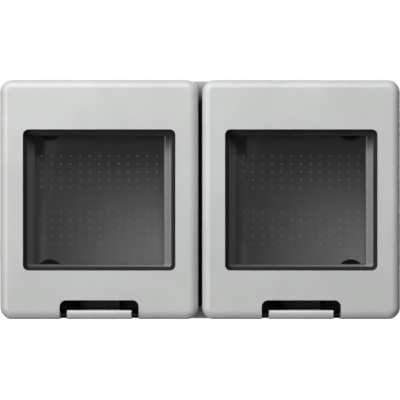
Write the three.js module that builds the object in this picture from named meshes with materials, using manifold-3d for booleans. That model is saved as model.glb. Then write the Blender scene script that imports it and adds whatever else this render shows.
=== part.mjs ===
// A twin weatherproof rocker wall switch: a surface-mounting back box, a front cover with two bays, a wide
// rocker switch in each bay, and over each bay a top-hinged lid with a soft membrane that the rocker is
// pressed through. Millimetres. +Z is up, the wall is the plane y = 0, and the front faces -Y.
// "Depth" below is the distance from the wall, so a point at depth d has y = -d.
import * as THREE from "three";
import { mergeVertices } from "three/addons/utils/BufferGeometryUtils.js";
import Module from "manifold-3d";

const wasm = await Module();
wasm.setup();

// ---------------------------------------------------------------- driving dimensions

const WIDTH = 138;
const HEIGHT = 82.5;
const LID_GAP = 1.4; // between the two lids
const CORNER_R = 4.2; // of the lids and the cover, seen from the front
const CLEAR = 0.3; // between pieces that touch in the real object

// Depths from the wall.
const BOX_FLOOR = 2.6;
const BOX_RIM = 40.9;
const COVER_SKIRT = 34.5;
const COVER_BACK = 42.6;
const SHELF_FACE = 44.2; // the hinge shelf along the cover's top edge
const COVER_FACE = 46.5;
const LID_BACK = 48;
const LID_PLATE = 59.6; // back of the lid's front plate
const LID_FRONT = 62;

const BAY_X = (WIDTH + LID_GAP) / 4; // centre of each bay, from the middle of the object
const BAY_Z = -0.1; // centre of the windows and switches
const LID_HALF_W = (WIDTH - LID_GAP) / 4;
const LID_WALL = 2.2;
const LID_EDGE_R = 3;

const HINGE = { depth: 50.3, z: 36.3, pinR: 1.0, boreR: 1.15, barrelR: 2.0 };
const HINGE_LUG = { from: 22.9, to: 26.9 }; // across the bay, on each side of its centre
const HINGE_RIB = { from: 27.6, to: 30.0 };
const SHELF_Z = 34.6;

const WINDOW = { halfW: 26.3, halfH: 24.35, r: 1.9 };
const PAD = { halfW: 22.75, halfH: 22.55, back: 55.8, front: 56.8 };
const NOTCH = { halfW: 13.65, top: -34.65, r: 2.2 };

const LATCH = { depth: 45.2, z: -39.65, pinR: 0.7, boreR: 0.85, barrelR: 1.4, halfW: 11.1 };
const LATCH_POCKET = { halfW: 14.4, top: -37.75, back: 43.4 };

const SCREW = { x: 17.3, z: 25.4, bossR: 4.2, sinkR: 3.5, headR: 3.2 }; // x is from the bay's centre
const RELIEF_R = 4.8; // clears a screw boss

const ROCKER = { depth: 46, tilt: 4, halfW: 22.2, halfH: 22.0, back: 4.4, face: 6.6 };
const SEESAW = { depth: 32.8, tilt: 6, contactZ: 8.4 };
const TERMINAL_PITCH = 13;

const OPENING = { front: 22.6, rear: 21.8, ledge: 43.7 };
const GASKET = { halfW: 67.6, bottom: -36.9, top: 34.0, holeHalfW: 30.6, holeBottom: -32.6, holeTop: 31.6 };

// ---------------------------------------------------------------- materials

const plastic = (color, roughness) => new THREE.MeshStandardMaterial({ color, roughness, metalness: 0 });
const metal = (color, roughness) => new THREE.MeshStandardMaterial({ color, roughness, metalness: 1 });

const MATERIAL = {
  housing: plastic(0xc6c9c5, 0.45),
  latch: plastic(0xdcdcd8, 0.4),
  seal: plastic(0x161716, 0.8),
  membrane: plastic(0x3a3c39, 0.3),
  frame: plastic(0x1c1d1c, 0.6),
  key: plastic(0xc2c5c2, 0.4),
  mechanism: plastic(0xd9d8d2, 0.55),
  carrier: plastic(0xe8e6de, 0.5),
  grommet: plastic(0x8d908c, 0.7),
  darkSteel: metal(0x2a2a2b, 0.45),
  steel: metal(0xb9bcbf, 0.3),
  brass: metal(0xc9a24d, 0.35),
};

// ---------------------------------------------------------------- solids

function toSolid(geometry) {
  const bare = geometry.clone();
  bare.deleteAttribute("normal");
  bare.deleteAttribute("uv");
  const merged = mergeVertices(bare, 1e-4);
  return new wasm.Manifold(
    new wasm.Mesh({
      numProp: 3,
      vertProperties: new Float32Array(merged.attributes.position.array),
      triVerts: new Uint32Array(merged.index.array),
    }),
  );
}

function toGeometry(solid) {
  const mesh = solid.getMesh();
  const positions = new Float32Array(mesh.numVert * 3);
  for (let i = 0; i < mesh.numVert; i++) {
    positions.set(mesh.vertProperties.subarray(i * mesh.numProp, i * mesh.numProp + 3), i * 3);
  }
  const geometry = new THREE.BufferGeometry();
  geometry.setAttribute("position", new THREE.BufferAttribute(positions, 3));
  geometry.setIndex(new THREE.BufferAttribute(new Uint32Array(mesh.triVerts), 1));
  geometry.computeVertexNormals();
  return geometry;
}

const join = (first, ...rest) => rest.reduce((a, b) => a.add(b), first);
const cut = (first, ...rest) => rest.reduce((a, b) => a.subtract(b), first);

function piece(name, solid, material) {
  const mesh = new THREE.Mesh(toGeometry(solid), material);
  mesh.name = name;
  return mesh;
}

// A rounded rectangle in the X-Z plane, as a Shape whose y is the object's z.
function roundedRect(halfW, halfH, r, z = 0) {
  const shape = new THREE.Shape();
  shape.absarc(halfW - r, z + halfH - r, r, 0, Math.PI / 2);
  shape.absarc(-halfW + r, z + halfH - r, r, Math.PI / 2, Math.PI);
  shape.absarc(-halfW + r, z - halfH + r, r, Math.PI, 1.5 * Math.PI);
  shape.absarc(halfW - r, z - halfH + r, r, 1.5 * Math.PI, 2 * Math.PI);
  return shape;
}

// A shape in the X-Z plane, made solid from one depth to another.
function slab(shape, near, far, curveSegments = 4) {
  const geometry = new THREE.ExtrudeGeometry(shape, {
    depth: far - near,
    bevelEnabled: false,
    curveSegments,
  });
  return toSolid(geometry.translate(0, 0, near).rotateX(Math.PI / 2));
}

// The same, with its front edge rounded.
function crownedSlab(shape, near, far, edgeR) {
  const geometry = new THREE.ExtrudeGeometry(shape, {
    depth: far - near,
    bevelThickness: edgeR,
    bevelSize: edgeR,
    bevelOffset: -edgeR,
    bevelSegments: 4,
    curveSegments: 4,
  });
  const solid = toSolid(geometry.translate(0, 0, near - edgeR).rotateX(Math.PI / 2));
  const reach = 2 * WIDTH;
  return cut(solid, block(-reach, reach, -reach, reach, near - 2 * edgeR, near));
}

function block(x0, x1, z0, z1, near, far) {
  const geometry = new THREE.BoxGeometry(x1 - x0, far - near, z1 - z0);
  return toSolid(geometry.translate((x0 + x1) / 2, -(near + far) / 2, (z0 + z1) / 2));
}

// A block with one rectangle at its near depth and another at its far depth.
function taper(near, nearHalf, far, farHalf, z) {
  const geometry = new THREE.BoxGeometry(2, 1, 2);
  const position = geometry.attributes.position;
  for (let i = 0; i < position.count; i++) {
    const [halfW, halfH] = position.getY(i) > 0 ? nearHalf : farHalf;
    const depth = position.getY(i) > 0 ? near : far;
    position.setXYZ(i, position.getX(i) * halfW, -depth, z + position.getZ(i) * halfH);
  }
  return toSolid(geometry);
}

// A round bar along the depth axis.
function disc(x, z, r, near, far, segments = 16) {
  const geometry = new THREE.CylinderGeometry(r, r, far - near, segments);
  return toSolid(geometry.translate(x, -(near + far) / 2, z));
}

// A round bar along X.
function rod(x0, x1, depth, z, r, segments = 16) {
  const geometry = new THREE.CylinderGeometry(r, r, x1 - x0, segments).rotateZ(Math.PI / 2);
  return toSolid(geometry.translate((x0 + x1) / 2, -depth, z));
}

// A side profile, drawn as (depth, z), made solid from x0 to x1.
function bar(profile, x0, x1) {
  const geometry = new THREE.ExtrudeGeometry(profile, {
    depth: x1 - x0,
    bevelEnabled: false,
    curveSegments: 5,
  });
  const basis = new THREE.Matrix4().makeBasis(
    new THREE.Vector3(0, -1, 0),
    new THREE.Vector3(0, 0, 1),
    new THREE.Vector3(-1, 0, 0),
  );
  return toSolid(geometry.applyMatrix4(basis).translate(x1, 0, 0));
}

// A profile of [radius, height] points, turned about the object's Z axis.
function turned(points, segments = 16) {
  const profile = points.map(([r, h]) => new THREE.Vector2(r, h));
  return toSolid(new THREE.LatheGeometry(profile, segments).rotateX(Math.PI / 2));
}

// Round wire along a list of points.
function wire(points, r, steps) {
  const section = new THREE.Shape();
  const sides = 5;
  for (let i = 0; i < sides; i++) {
    const angle = (2 * Math.PI * i) / sides;
    const corner = [r * Math.cos(angle), r * Math.sin(angle)];
    if (i === 0) section.moveTo(...corner);
    else section.lineTo(...corner);
  }
  const path = new THREE.CatmullRomCurve3(points, false, "centripetal");
  return toSolid(new THREE.ExtrudeGeometry(section, { steps, bevelEnabled: false, extrudePath: path }));
}

// Every corner of a rectangle centred on x = 0 and on the given z.
const corners = (x, z, middleZ = 0) => [
  [-x, middleZ - z],
  [x, middleZ - z],
  [-x, middleZ + z],
  [x, middleZ + z],
];

// ---------------------------------------------------------------- back box

const BOX = { halfW: 67, halfH: 39, r: 4.5, wall: 2.4 };
const POST = { r: 3.2, boreR: 1.55, top: 40.6, boreFloor: 26 };
const FIXING = { x: 59.5, z: 31, holeR: 3.1 };
const ENTRY = { depth: 18, holeR: 9.5 };
const postX = BAY_X + SCREW.x;

function backBox() {
  const outer = slab(roundedRect(BOX.halfW, BOX.halfH, BOX.r), 0, BOX_RIM);
  const hollow = slab(
    roundedRect(BOX.halfW - BOX.wall, BOX.halfH - BOX.wall, BOX.r - BOX.wall),
    BOX_FLOOR,
    BOX_RIM + 1,
  );
  const posts = corners(postX, SCREW.z, BAY_Z).map(([x, z]) => disc(x, z, POST.r, BOX_FLOOR - 1, POST.top));
  const bores = corners(postX, SCREW.z, BAY_Z).map(([x, z]) =>
    disc(x, z, POST.boreR, POST.boreFloor, POST.top + 1, 12),
  );
  const fixings = corners(FIXING.x, FIXING.z).map(([x, z]) => disc(x, z, FIXING.holeR, -1, BOX_FLOOR + 1));
  const entries = [-BAY_X, BAY_X].map((x) => {
    const through = new THREE.CylinderGeometry(ENTRY.holeR, ENTRY.holeR, HEIGHT, 24).rotateX(Math.PI / 2);
    return toSolid(through.translate(x, -ENTRY.depth, 0));
  });
  return cut(join(cut(outer, hollow), ...posts), ...bores, ...fixings, ...entries);
}

// A rubber cable entry: it grips the box wall in a groove, and its closed centre is cut open for a cable.
function cableGrommet(x, up) {
  const wallIn = BOX.halfH - BOX.wall;
  const profile = [
    [0, wallIn - 4.6],
    [3.4, wallIn - 4.6],
    [7.2, wallIn - 1.8],
    [11.2, wallIn - 1.8],
    [11.2, wallIn - CLEAR],
    [ENTRY.holeR - CLEAR, wallIn - CLEAR],
    [ENTRY.holeR - CLEAR, BOX.halfH + CLEAR],
    [11.8, BOX.halfH + CLEAR],
    [11.2, BOX.halfH + 1.7],
    [7.6, BOX.halfH + 1.7],
    [3.2, wallIn - 3.6],
    [0, wallIn - 3.6],
  ];
  const grommet = turned(profile);
  const upright = up ? grommet : grommet.rotate([180, 0, 0]);
  return upright.translate([x, -ENTRY.depth, 0]);
}

// ---------------------------------------------------------------- front cover

// The seal between the box's rim and the cover.
function boxSeal() {
  const near = BOX_RIM + CLEAR;
  const far = COVER_BACK - CLEAR;
  const outer = slab(roundedRect(BOX.halfW - 0.2, BOX.halfH - 0.2, BOX.r - 0.2), near, far);
  return cut(outer, slab(roundedRect(BOX.halfW - 2, BOX.halfH - 2, BOX.r - 2), near - 1, far + 1));
}

// The figure-of-eight seal that both lids close on. grow widens it, for the groove that it lies in.
function lidSealShape(near, far, grow) {
  const middle = (GASKET.top + GASKET.bottom) / 2;
  const half = (GASKET.top - GASKET.bottom) / 2;
  const outer = slab(roundedRect(GASKET.halfW + grow, half + grow, 2.5, middle), near, far);
  const holeMiddle = (GASKET.holeTop + GASKET.holeBottom) / 2;
  const holeHalf = (GASKET.holeTop - GASKET.holeBottom) / 2;
  const holes = [-BAY_X, BAY_X].map((x) =>
    slab(
      roundedRect(GASKET.holeHalfW - grow, holeHalf - grow, 2, holeMiddle),
      near - 1,
      far + 1,
    ).translate([x, 0, 0]),
  );
  return cut(outer, ...holes);
}

// The lug that holds the hinge pin, standing on the hinge shelf.
function hingeLug(x0, x1) {
  const neck = block(
    x0,
    x1,
    HINGE.z - HINGE.barrelR,
    HINGE.z + HINGE.barrelR,
    COVER_BACK + 0.5,
    HINGE.depth,
  );
  return join(neck, rod(x0, x1, HINGE.depth, HINGE.z, HINGE.barrelR));
}

function frontCover() {
  const outline = roundedRect(WIDTH / 2, HEIGHT / 2, CORNER_R);
  const body = slab(outline, COVER_SKIRT, COVER_FACE);
  const overBox = slab(
    roundedRect(BOX.halfW + CLEAR, BOX.halfH + CLEAR, BOX.r + CLEAR),
    COVER_SKIRT - 1,
    COVER_BACK,
  );
  const shelf = block(-WIDTH, WIDTH, SHELF_Z, HEIGHT, SHELF_FACE, COVER_FACE + 1);
  const groove = lidSealShape(COVER_FACE - 1.2, COVER_FACE + 1, 0.2);
  let cover = cut(body, overBox, shelf, groove);
  for (const side of [-1, 1]) {
    const bay = side * BAY_X;
    const front = roundedRect(OPENING.front, OPENING.front, 1, BAY_Z);
    const rear = roundedRect(OPENING.rear, OPENING.rear, 1, BAY_Z);
    cover = cut(
      cover,
      slab(front, OPENING.ledge, COVER_FACE + 1).translate([bay, 0, 0]),
      slab(rear, COVER_BACK - 1, COVER_FACE).translate([bay, 0, 0]),
      block(
        bay - LATCH_POCKET.halfW,
        bay + LATCH_POCKET.halfW,
        -HEIGHT,
        LATCH_POCKET.top,
        LATCH_POCKET.back,
        COVER_FACE + 1,
      ),
      rod(bay - 16.2, bay + 16.2, LATCH.depth, LATCH.z, LATCH.boreR, 12),
    );
    for (const end of [-1, 1]) {
      const [x0, x1] = [bay + end * HINGE_LUG.from, bay + end * HINGE_LUG.to].sort((a, b) => a - b);
      cover = join(cover, hingeLug(x0, x1));
    }
    cover = cut(cover, rod(bay - 28, bay + 28, HINGE.depth, HINGE.z, HINGE.boreR));
  }
  for (const [x, z] of corners(postX, SCREW.z, BAY_Z)) {
    cover = join(cover, disc(x, z, SCREW.bossR, COVER_BACK, COVER_FACE + 2.1, 24));
    cover = cut(
      cover,
      disc(x, z, SCREW.sinkR, COVER_FACE - 1.6, COVER_FACE + 3, 24),
      disc(x, z, 1.9, COVER_BACK - 1, COVER_FACE, 12),
    );
  }
  return cover;
}

// A pan-head screw with a cross slot, from the cover into the box's post.
function coverScrew(x, z) {
  const seat = COVER_FACE - 1.6 + CLEAR;
  const head = join(disc(x, z, SCREW.headR, seat, seat + 1.4), disc(x, z, SCREW.headR - 0.8, seat + 1, seat + 2));
  const slot = join(
    block(x - 1.9, x + 1.9, z - 0.4, z + 0.4, seat + 0.9, seat + 3),
    block(x - 0.4, x + 0.4, z - 1.9, z + 1.9, seat + 0.9, seat + 3),
  );
  return cut(join(head, disc(x, z, POST.boreR - CLEAR, POST.boreFloor + 2, seat + 0.5, 12)), slot);
}

// ---------------------------------------------------------------- lid, in its bay's frame

const RIB = { top: [32.0, 33.7], bottom: [-34.4, -32.8] };
const STAKE = { x: 29.2, z: 27.2, r: 0.9 };
const CATCH = { halfW: 7, bottom: -37.75, near: 48.2, far: 49.6 };

function lid() {
  const outer = crownedSlab(roundedRect(LID_HALF_W, HEIGHT / 2, CORNER_R), LID_BACK, LID_FRONT, LID_EDGE_R);
  const inner = roundedRect(LID_HALF_W - LID_WALL, HEIGHT / 2 - LID_WALL, 2);
  const hollow = slab(inner, LID_BACK - 1, LID_PLATE);
  // The top edge is cut back behind the hinge, so that it clears the cover as the lid swings.
  const swing = block(-WIDTH, WIDTH, HINGE.z - 0.5, HEIGHT, LID_BACK - 1, HINGE.depth - 0.4);
  const halfInside = LID_HALF_W - LID_WALL + 0.3;
  let shell = join(
    cut(outer, hollow, swing),
    block(-halfInside, halfInside, ...RIB.top, LID_BACK, LID_PLATE + 0.3),
    block(-halfInside, halfInside, ...RIB.bottom, LID_BACK, LID_PLATE + 0.3),
    block(-CATCH.halfW, CATCH.halfW, CATCH.bottom, RIB.bottom[0] + 0.3, CATCH.near, CATCH.far),
  );
  for (const end of [-1, 1]) {
    const [r0, r1] = [end * HINGE_RIB.from, end * HINGE_RIB.to].sort((a, b) => a - b);
    const web = block(r0, r1, HINGE.z, HEIGHT / 2 - LID_WALL + 0.3, HINGE.depth - 0.4, HINGE.depth + 2);
    shell = join(shell, web, rod(r0, r1, HINGE.depth, HINGE.z, HINGE.barrelR));
    const [n0, n1] = [end * (HINGE_LUG.from - 0.5), end * (HINGE_LUG.to + 0.5)].sort((a, b) => a - b);
    shell = cut(shell, block(n0, n1, HINGE.z + 2, HEIGHT, LID_BACK - 1, HINGE.depth + 3.7));
  }
  for (const [x, z] of corners(STAKE.x, STAKE.z, BAY_Z)) {
    shell = join(shell, disc(x, z, STAKE.r, PAD.back - 0.8, LID_PLATE + 0.3, 10));
  }
  const notch = new THREE.Shape();
  notch.moveTo(-NOTCH.halfW, -HEIGHT);
  notch.lineTo(NOTCH.halfW, -HEIGHT);
  notch.absarc(NOTCH.halfW - NOTCH.r, NOTCH.top - NOTCH.r, NOTCH.r, 0, Math.PI / 2);
  notch.absarc(-NOTCH.halfW + NOTCH.r, NOTCH.top - NOTCH.r, NOTCH.r, Math.PI / 2, Math.PI);
  return cut(
    shell,
    rod(-30.5, 30.5, HINGE.depth, HINGE.z, HINGE.boreR),
    slab(roundedRect(WINDOW.halfW, WINDOW.halfH, WINDOW.r, BAY_Z), LID_PLATE - 0.5, LID_FRONT + 1),
    slab(notch, LID_BACK - 1, LID_FRONT + 1),
  );
}

// The soft window: a rim clamped behind the lid's plate, and a sunken pad that the rocker is pressed through.
const MEMBRANE = { rimBack: 58.25, rimFront: 59.35, rimHalf: [28.2, 26.3], tray: [24.75, 22.97], wall: 0.7 };

function membrane() {
  const [rimW, rimH] = MEMBRANE.rimHalf;
  const [trayW, trayH] = MEMBRANE.tray;
  const rim = slab(roundedRect(rimW, rimH, 2.5, BAY_Z), MEMBRANE.rimBack, MEMBRANE.rimFront);
  const outside = taper(
    PAD.back,
    [PAD.halfW + MEMBRANE.wall, PAD.halfH + MEMBRANE.wall],
    MEMBRANE.rimBack + 0.3,
    [trayW + 0.55, trayH + 0.6],
    BAY_Z,
  );
  const inside = taper(
    PAD.front,
    [PAD.halfW, PAD.halfH],
    MEMBRANE.rimFront + 0.1,
    [trayW + 0.07, trayH + 0.02],
    BAY_Z,
  );
  return cut(join(rim, outside), inside);
}

// The frame that clamps the membrane's rim, held by four stakes of the lid.
function membraneFrame() {
  const near = PAD.back - 0.4;
  const far = MEMBRANE.rimBack - CLEAR;
  const outer = slab(roundedRect(30.9, 28.7, 1.5, BAY_Z), near, far);
  const inner = slab(roundedRect(25.7, 24.0, 1, BAY_Z), near - 1, far + 1);
  const holes = corners(STAKE.x, STAKE.z, BAY_Z).map(([x, z]) => disc(x, z, STAKE.r + 0.3, near - 1, far + 1, 10));
  return cut(outer, inner, ...holes);
}

function hingePin() {
  return rod(-30.4, 30.4, HINGE.depth, HINGE.z, HINGE.pinR, 12);
}

// ---------------------------------------------------------------- latch, in its bay's frame

// The lever runs forward under the lid, and its tip shows in the lid's notch as a finger tab.
function latchLever() {
  const bottom = -HEIGHT / 2;
  const armTop = bottom + 2.2;
  const tabTop = bottom + 3.1;
  const roundD = LID_FRONT - LID_EDGE_R;
  const tipR = 0.8;
  const profile = new THREE.Shape();
  profile.moveTo(LATCH.depth, bottom + 0.2);
  profile.lineTo(LATCH.depth + 1, bottom);
  profile.lineTo(roundD, bottom);
  profile.absarc(roundD, bottom + LID_EDGE_R, LID_EDGE_R, -Math.PI / 2, -Math.PI / 9);
  profile.absarc(LID_FRONT - 0.1 - tipR, tabTop - tipR, tipR, 0, Math.PI / 2);
  profile.lineTo(LID_FRONT - 3.2, tabTop);
  profile.lineTo(LID_FRONT - 3.9, armTop);
  profile.lineTo(LATCH.depth, armTop);
  const tooth = new THREE.Shape();
  tooth.moveTo(50, armTop - 0.2);
  tooth.lineTo(52.4, armTop - 0.2);
  tooth.lineTo(51, armTop + 1);
  tooth.lineTo(50, armTop + 1);
  const lever = join(
    bar(profile, -LATCH.halfW, LATCH.halfW),
    bar(tooth, -CATCH.halfW, CATCH.halfW),
    rod(-LATCH.halfW, LATCH.halfW, LATCH.depth, LATCH.z, LATCH.barrelR),
  );
  return cut(
    lever,
    rod(-LATCH.halfW - 1, LATCH.halfW + 1, LATCH.depth, LATCH.z, LATCH.boreR, 12),
    block(-3.2, 3.2, bottom - 1, armTop + 2, LATCH_POCKET.back - 1, LATCH.depth + 2.2),
  );
}

function latchPin() {
  return rod(-15.8, 15.8, LATCH.depth, LATCH.z, LATCH.pinR, 10);
}

// A torsion spring round the latch's pin, with one leg on the cover and one on the lever.
function latchSpring() {
  const turns = 5;
  const stepsPerTurn = 7;
  const coilR = 1.12;
  const halfW = 2.0;
  const points = [new THREE.Vector3(-halfW, -LATCH.depth - 1.7, LATCH.z + coilR)];
  for (let i = 0; i <= turns * stepsPerTurn; i++) {
    const angle = Math.PI / 2 + (2 * Math.PI * i) / stepsPerTurn;
    const x = -halfW + (2 * halfW * i) / (turns * stepsPerTurn);
    points.push(
      new THREE.Vector3(x, -LATCH.depth + coilR * Math.cos(angle), LATCH.z + coilR * Math.sin(angle)),
    );
  }
  points.push(new THREE.Vector3(halfW, -LATCH.depth + 1.3, LATCH.z + coilR));
  return wire(points, 0.18, (turns + 1) * stepsPerTurn);
}

// ---------------------------------------------------------------- switch mechanism, in its bay's frame

const CORE = { halfW: 11, halfH: 21.3, back: 21.5, front: 44.0 };
const CHAMBER = { halfW: 6.5, halfH: 13, floor: 29.9 };
const FLANGE = { half: 22.3, front: 45.2, skirtHalf: 21.5, skirtBack: 40.4 };
const BLOCK = { half: 4, back: 22.3, front: 28.5 };

// The bosses of the cover's screws stand in the outer corners of each bay.
function bossReliefs(side, near, far) {
  return [-1, 1].map((up) => disc(side * SCREW.x, up * SCREW.z, RELIEF_R, near, far, 24));
}

const square = (half) => roundedRect(half, half, 0.8);

function mechanismBody(side) {
  const flange = slab(square(FLANGE.half), CORE.front, FLANGE.front);
  const skirt = cut(
    slab(square(FLANGE.skirtHalf), FLANGE.skirtBack, CORE.front + 0.3),
    slab(square(FLANGE.skirtHalf - 1.5), FLANGE.skirtBack - 1, CORE.front),
  );
  const snaps = [-1, 1].map((end) => {
    const [x0, x1] = [end * (FLANGE.skirtHalf - 0.5), end * 22.7].sort((a, b) => a - b);
    return block(x0, x1, -5, 5, FLANGE.skirtBack, COVER_BACK - 0.4);
  });
  const front = cut(join(flange, skirt, ...snaps), ...bossReliefs(side, FLANGE.skirtBack - 1, FLANGE.front + 1));
  const core = block(-CORE.halfW, CORE.halfW, -CORE.halfH, CORE.halfH, CORE.back, CORE.front + 0.3);
  const ears = [-1, 1].map((end) => {
    const [x0, x1] = [end * 6.6, end * 8.6].sort((a, b) => a - b);
    return block(x0, x1, -3.4, 3.4, FLANGE.front - 0.5, ROCKER.depth + 2.3);
  });
  const chamber = block(
    -CHAMBER.halfW,
    CHAMBER.halfW,
    -CHAMBER.halfH,
    CHAMBER.halfH,
    CHAMBER.floor,
    FLANGE.front + 1,
  );
  const pockets = [-1, 0, 1].map((n) => {
    const z = n * TERMINAL_PITCH;
    const half = BLOCK.half + CLEAR;
    return block(-half, half, z - half, z + half, CORE.back - 1, BLOCK.front + CLEAR);
  });
  const slits = [
    block(-1.8, 1.8, -1.3, 1.3, BLOCK.front, CHAMBER.floor + 1),
    block(-1.8, 1.8, TERMINAL_PITCH - 3.7, TERMINAL_PITCH - 2.1, BLOCK.front, CHAMBER.floor + 1),
    block(-1.8, 1.8, 2.1 - TERMINAL_PITCH, 3.7 - TERMINAL_PITCH, BLOCK.front, CHAMBER.floor + 1),
  ];
  const axle = rod(-8.8, 8.8, ROCKER.depth, 0, 1.75);
  return cut(join(front, core, ...ears), chamber, ...pockets, ...slits, axle);
}

// A brass block with a cable hole and a screw hole, both open to the back.
function terminalBlock(z) {
  return cut(
    block(-BLOCK.half, BLOCK.half, z - BLOCK.half, z + BLOCK.half, BLOCK.back, BLOCK.front),
    disc(-1.9, z, 1.5, BLOCK.back - 1, 27, 12),
    disc(1.9, z, 1.5, BLOCK.back - 1, 27, 12),
  );
}

// The common terminal carries the knife edge that the moving contact rocks on.
function commonTerminal() {
  return join(terminalBlock(0), block(-1.5, 1.5, -1, 1, BLOCK.front - 0.3, 31.9));
}

// A switched terminal ends in a fixed contact under one end of the moving contact. up is 1 or -1.
function switchedTerminal(up) {
  const riserZ = [up * (TERMINAL_PITCH - 3.4), up * (TERMINAL_PITCH - 2.4)].sort((a, b) => a - b);
  const stripZ = [up * (SEESAW.contactZ - 1.3), up * (TERMINAL_PITCH - 2.4)].sort((a, b) => a - b);
  return join(
    terminalBlock(up * TERMINAL_PITCH),
    block(-1.5, 1.5, ...riserZ, BLOCK.front - 0.3, 30.6),
    block(-1.5, 1.5, ...stripZ, 30.2, 30.6),
    disc(0, up * SEESAW.contactZ, 1.2, 30.5, 30.8, 12),
  );
}

function terminalScrew(z) {
  const head = cut(
    disc(1.9, z, 1.9, 20.4, 21.95, 12),
    block(-1, 5, z - 0.3, z + 0.3, 20, 21),
  );
  return join(head, disc(1.9, z, 1.2, 21.5, 26.5, 10));
}

// The moving contact, in its own frame: its pivot is the origin.
function movingContact() {
  const strip = block(-2.4, 2.4, -9.7, 9.7, -0.5, 0.5);
  const rivets = [-1, 1].map((up) => disc(0, up * SEESAW.contactZ, 1.2, -0.8, -0.3, 12));
  return join(strip, ...rivets);
}

// ---------------------------------------------------------------- rocker, in its own frame

// Depths here are measured from the rocker's axle, which is the origin.
function rockerKey(side) {
  const outline = (inset) => roundedRect(ROCKER.halfW - inset, ROCKER.halfH - inset, 0.8);
  const skirtBack = 1.6;
  const wall = 1.3;
  const body = cut(
    slab(outline(0), skirtBack, ROCKER.face),
    ...bossReliefs(side, 0, ROCKER.face + 1),
  );
  const bossKeep = [-1, 1].map((up) =>
    disc(side * SCREW.x, up * SCREW.z, RELIEF_R + wall, skirtBack - 2, ROCKER.back + 1, 24),
  );
  const hollow = cut(slab(outline(wall), skirtBack - 1, ROCKER.back), ...bossKeep);
  const legs = [-1, 1].map((up) => {
    const [z0, z1] = [up * 4.9, up * 6.1].sort((a, b) => a - b);
    return block(-3, 3, z0, z1, -0.5, ROCKER.back + 0.3);
  });
  return join(cut(body, hollow), ...legs);
}

// The carrier turns on its axle in the mechanism's ears, and holds the plunger in a tube.
function rockerCarrier() {
  const head = block(-5.6, 5.6, -4.6, 4.6, -2, ROCKER.back - CLEAR);
  const tube = disc(0, 0, 3.1, -8.5, 0);
  const axle = rod(-8.4, 8.4, 0, 0, 1.5);
  return cut(join(head, tube, axle), disc(0, 0, 2.1, -9, 0.5));
}

function plunger() {
  const tipR = 1.2;
  const points = [new THREE.Vector2(0, -12.2)];
  for (const angle of [30, 60, 90]) {
    const a = THREE.MathUtils.degToRad(angle);
    points.push(new THREE.Vector2(tipR * Math.sin(a), -11 - tipR * Math.cos(a)));
  }
  points.push(new THREE.Vector2(1.8, -10), new THREE.Vector2(1.8, -5.1), new THREE.Vector2(0, -5.1));
  // The lathe turns about Y, and a height of -12.2 there is 12.2 behind the axle.
  return toSolid(new THREE.LatheGeometry(points, 12).rotateX(Math.PI));
}

function plungerSpring() {
  const turns = 5;
  const stepsPerTurn = 7;
  const back = 4.7;
  const length = 4.9;
  const points = [];
  for (let i = 0; i <= turns * stepsPerTurn; i++) {
    const angle = (2 * Math.PI * i) / stepsPerTurn;
    const y = back - (length * i) / (turns * stepsPerTurn);
    points.push(new THREE.Vector3(1.45 * Math.cos(angle), y, 1.45 * Math.sin(angle)));
  }
  return wire(points, 0.2, turns * stepsPerTurn);
}

// ---------------------------------------------------------------- assembly

const object = new THREE.Group();
object.add(piece("back_box", backBox(), MATERIAL.housing));
object.add(piece("box_seal", boxSeal(), MATERIAL.seal));
object.add(piece("front_cover", frontCover(), MATERIAL.housing));
object.add(piece("lid_seal", lidSealShape(COVER_FACE - 0.9, COVER_FACE + 1.2, 0), MATERIAL.seal));
corners(postX, SCREW.z, BAY_Z).forEach(([x, z], i) => {
  object.add(piece(`cover_screw_${i + 1}`, coverScrew(x, z), MATERIAL.darkSteel));
});

for (const side of [-1, 1]) {
  const label = side < 0 ? "left" : "right";
  object.add(piece(`top_grommet_${label}`, cableGrommet(side * BAY_X, true), MATERIAL.grommet));
  object.add(piece(`bottom_grommet_${label}`, cableGrommet(side * BAY_X, false), MATERIAL.grommet));

  const bay = new THREE.Group();
  bay.position.x = side * BAY_X;
  object.add(bay);
  bay.add(piece(`lid_${label}`, lid(), MATERIAL.housing));
  bay.add(piece(`membrane_${label}`, membrane(), MATERIAL.membrane));
  bay.add(piece(`membrane_frame_${label}`, membraneFrame(), MATERIAL.frame));
  bay.add(piece(`hinge_pin_${label}`, hingePin(), MATERIAL.steel));
  bay.add(piece(`latch_lever_${label}`, latchLever(), MATERIAL.latch));
  bay.add(piece(`latch_pin_${label}`, latchPin(), MATERIAL.darkSteel));
  bay.add(piece(`latch_spring_${label}`, latchSpring(), MATERIAL.steel));

  const unit = new THREE.Group();
  unit.position.z = BAY_Z;
  bay.add(unit);
  unit.add(piece(`mechanism_body_${label}`, mechanismBody(side), MATERIAL.mechanism));
  unit.add(piece(`common_terminal_${label}`, commonTerminal(), MATERIAL.brass));
  unit.add(piece(`upper_terminal_${label}`, switchedTerminal(1), MATERIAL.brass));
  unit.add(piece(`lower_terminal_${label}`, switchedTerminal(-1), MATERIAL.brass));
  [-1, 0, 1].forEach((n, i) => {
    unit.add(piece(`terminal_screw_${label}_${i + 1}`, terminalScrew(n * TERMINAL_PITCH), MATERIAL.steel));
  });

  const rocker = new THREE.Group();
  rocker.position.y = -ROCKER.depth;
  rocker.rotation.x = -THREE.MathUtils.degToRad(ROCKER.tilt);
  unit.add(rocker);
  rocker.add(piece(`rocker_key_${label}`, rockerKey(side), MATERIAL.key));
  rocker.add(piece(`rocker_carrier_${label}`, rockerCarrier(), MATERIAL.carrier));
  rocker.add(piece(`plunger_${label}`, plunger(), MATERIAL.steel));
  rocker.add(piece(`plunger_spring_${label}`, plungerSpring(), MATERIAL.steel));

  const contact = piece(`moving_contact_${label}`, movingContact(), MATERIAL.brass);
  contact.position.y = -SEESAW.depth;
  contact.rotation.x = THREE.MathUtils.degToRad(SEESAW.tilt);
  unit.add(contact);
}

export default object;
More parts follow.
